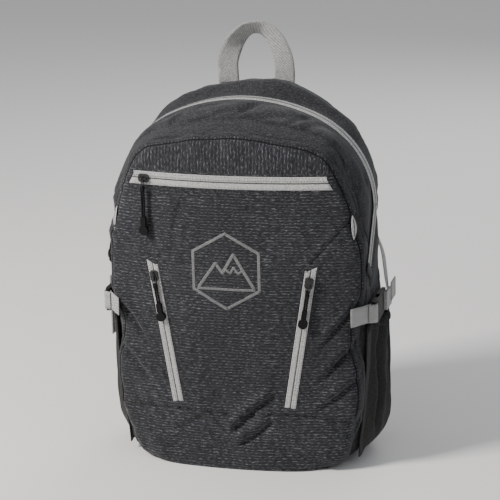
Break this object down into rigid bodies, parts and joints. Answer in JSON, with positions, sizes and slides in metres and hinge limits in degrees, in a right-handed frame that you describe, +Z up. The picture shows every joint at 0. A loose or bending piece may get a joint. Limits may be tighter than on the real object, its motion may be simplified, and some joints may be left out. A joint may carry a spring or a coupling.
{
  "type": "daypack",
  "caption": "Soft daypack with an arched main zip, zipped front pocket, elastic side pockets, side-release compression straps, padded shoulder straps and a haul loop.",
  "frame": {"origin": "on the floor, mid-width, in the plane of the main zip: the underside of the flat base panel", "axes": "+Z up, -Y the front of the pack, +Y the side worn against the back, +X to the right seen from the front"},
  "size_m": [0.3419, 0.2006, 0.4899],
  "materials": {
    "shell_fabric": "dark charcoal heather weave, matt",
    "side_fabric": "near-black stretch weave with an elastic binding, matt",
    "lining": "plain grey lining, matt",
    "mesh_fabric": "black open spacer mesh over foam",
    "board": "plain sheet",
    "zip_tape": "light grey woven tape",
    "zip_coil": "nylon coil, satin",
    "webbing": "light grey heather webbing",
    "strap_webbing": "black ribbed webbing",
    "black_plastic": "moulded acetal, satin",
    "slider_metal": "black painted zinc, semi-gloss",
    "pull_cord": "black braided cord with a moulded end"
  },
  "bodies": {
    "pack": {"main_shell": "shell_fabric", "front_shell": "shell_fabric", "front_pocket": "shell_fabric", "base_panel": "side_fabric", "frame_sheet": "board", "laptop_sleeve": "lining", "back_pad_left": "mesh_fabric", "back_pad_right": "mesh_fabric", "back_pad_lumbar": "mesh_fabric", "side_pocket_left": "side_fabric", "side_pocket_right": "side_fabric", "pocket_binding_left": "side_fabric", "pocket_binding_right": "side_fabric", "main_zip_tape": "zip_tape", "main_zip_coil": "zip_coil", "main_zip_leg_left": "zip_tape", "main_zip_leg_right": "zip_tape", "front_zip_tape": "zip_tape", "front_zip_coil": "zip_coil", "side_zip_left": "zip_tape", "side_zip_right": "zip_tape", "compression_stub_left": "webbing", "compression_stub_right": "webbing", "buckle_socket_left": "black_plastic", "buckle_socket_right": "black_plastic", "compression_webbing_left": "webbing", "compression_webbing_right": "webbing", "haul_loop_ends": "webbing", "strap_top_left": "shell_fabric", "strap_top_right": "shell_fabric", "strap_tab_left": "strap_webbing", "strap_tab_right": "strap_webbing"},
    "main_slider_high": {"main_slider_high": "slider_metal"},
    "main_slider_low": {"main_slider_low": "slider_metal"},
    "front_slider": {"front_slider": "slider_metal"},
    "side_slider_left": {"side_slider_left": "slider_metal"},
    "side_slider_right": {"side_slider_right": "slider_metal"},
    "main_pull_high": {"main_pull_high_ring": "slider_metal", "main_pull_high_cord": "pull_cord"},
    "main_pull_low": {"main_pull_low_ring": "slider_metal", "main_pull_low_cord": "pull_cord"},
    "front_pull": {"front_pull_ring": "slider_metal", "front_pull_cord": "pull_cord"},
    "side_pull_left": {"side_pull_left_ring": "slider_metal", "side_pull_left_cord": "pull_cord"},
    "side_pull_right": {"side_pull_right_ring": "slider_metal", "side_pull_right_cord": "pull_cord"},
    "buckle_plug_left": {"buckle_plug_left": "black_plastic", "compression_tail_left": "webbing"},
    "buckle_plug_right": {"buckle_plug_right": "black_plastic", "compression_tail_right": "webbing"},
    "haul_loop": {"haul_loop": "webbing"},
    "shoulder_strap_left": {"shoulder_strap_left": "shell_fabric", "strap_adjuster_left": "black_plastic", "strap_webbing_left": "strap_webbing"},
    "shoulder_strap_right": {"shoulder_strap_right": "shell_fabric", "strap_adjuster_right": "black_plastic", "strap_webbing_right": "strap_webbing"}
  },
  "joints": [
    {"name": "main_slider_high_run", "type": "hinge", "parent": "pack", "child": "main_slider_high", "pos_m": [-0.03843, 0, 0.29841], "axis": [0, 1, 0], "range_deg": [0, 57]},
    {"name": "main_slider_low_run", "type": "slide", "parent": "pack", "child": "main_slider_low", "axis": [0, -0.5736, -0.8192], "range_m": [0, 0.042]},
    {"name": "front_slider_run", "type": "hinge", "parent": "pack", "child": "front_slider", "pos_m": [0, 0.412, 0.341], "axis": [0, 0, 1], "range_deg": [0, 22.6]},
    {"name": "side_slider_left_run", "type": "slide", "parent": "pack", "child": "side_slider_left", "axis": [0.1568, -0.0251, -0.9873], "range_m": [0, 0.136]},
    {"name": "side_slider_right_run", "type": "slide", "parent": "pack", "child": "side_slider_right", "axis": [-0.1568, -0.0251, -0.9873], "range_m": [0, 0.136]},
    {"name": "main_pull_high_swing", "type": "hinge", "parent": "main_slider_high", "child": "main_pull_high", "pos_m": [-0.15324, 0, 0.31262], "axis": [0, 1, 0], "range_deg": [0, 120]},
    {"name": "main_pull_low_swing", "type": "hinge", "parent": "main_slider_low", "child": "main_pull_low", "pos_m": [-0.1541, -0.01027, 0.28375], "axis": [0, 0.8192, -0.5736], "range_deg": [0, 120]},
    {"name": "front_pull_swing", "type": "hinge", "parent": "front_slider", "child": "front_pull", "pos_m": [-0.09918, -0.08419, 0.341], "axis": [-0.9806, 0.196, 0], "range_deg": [0, 120]},
    {"name": "side_pull_left_swing", "type": "hinge", "parent": "side_slider_left", "child": "side_pull_left", "pos_m": [-0.09002, -0.08393, 0.22531], "axis": [-0.9749, 0.156, -0.1588], "range_deg": [0, 120]},
    {"name": "side_pull_right_swing", "type": "hinge", "parent": "side_slider_right", "child": "side_pull_right", "pos_m": [0.09002, -0.08393, 0.22531], "axis": [-0.9749, -0.156, 0.1588], "range_deg": [0, 120]},
    {"name": "buckle_left_release", "type": "slide", "parent": "pack", "child": "buckle_plug_left", "axis": [0, 1, 0], "range_m": [0, 0.028]},
    {"name": "buckle_right_release", "type": "slide", "parent": "pack", "child": "buckle_plug_right", "axis": [0, 1, 0], "range_m": [0, 0.028]},
    {"name": "haul_loop_fold", "type": "hinge", "parent": "pack", "child": "haul_loop", "pos_m": [0, 0.06, 0.4255], "axis": [1, 0, 0], "range_deg": [-60, 60], "stiffness_Nm_per_rad": 0.05},
    {"name": "shoulder_strap_left_swing", "type": "hinge", "parent": "pack", "child": "shoulder_strap_left", "pos_m": [-0.046, 0.08, 0.386], "axis": [-0.2268, -0.0277, -0.9736], "range_deg": [-20, 20], "stiffness_Nm_per_rad": 0.8},
    {"name": "shoulder_strap_right_swing", "type": "hinge", "parent": "pack", "child": "shoulder_strap_right", "pos_m": [0.046, 0.08, 0.386], "axis": [0.2268, -0.0277, -0.9736], "range_deg": [-20, 20], "stiffness_Nm_per_rad": 0.8}
  ]
}
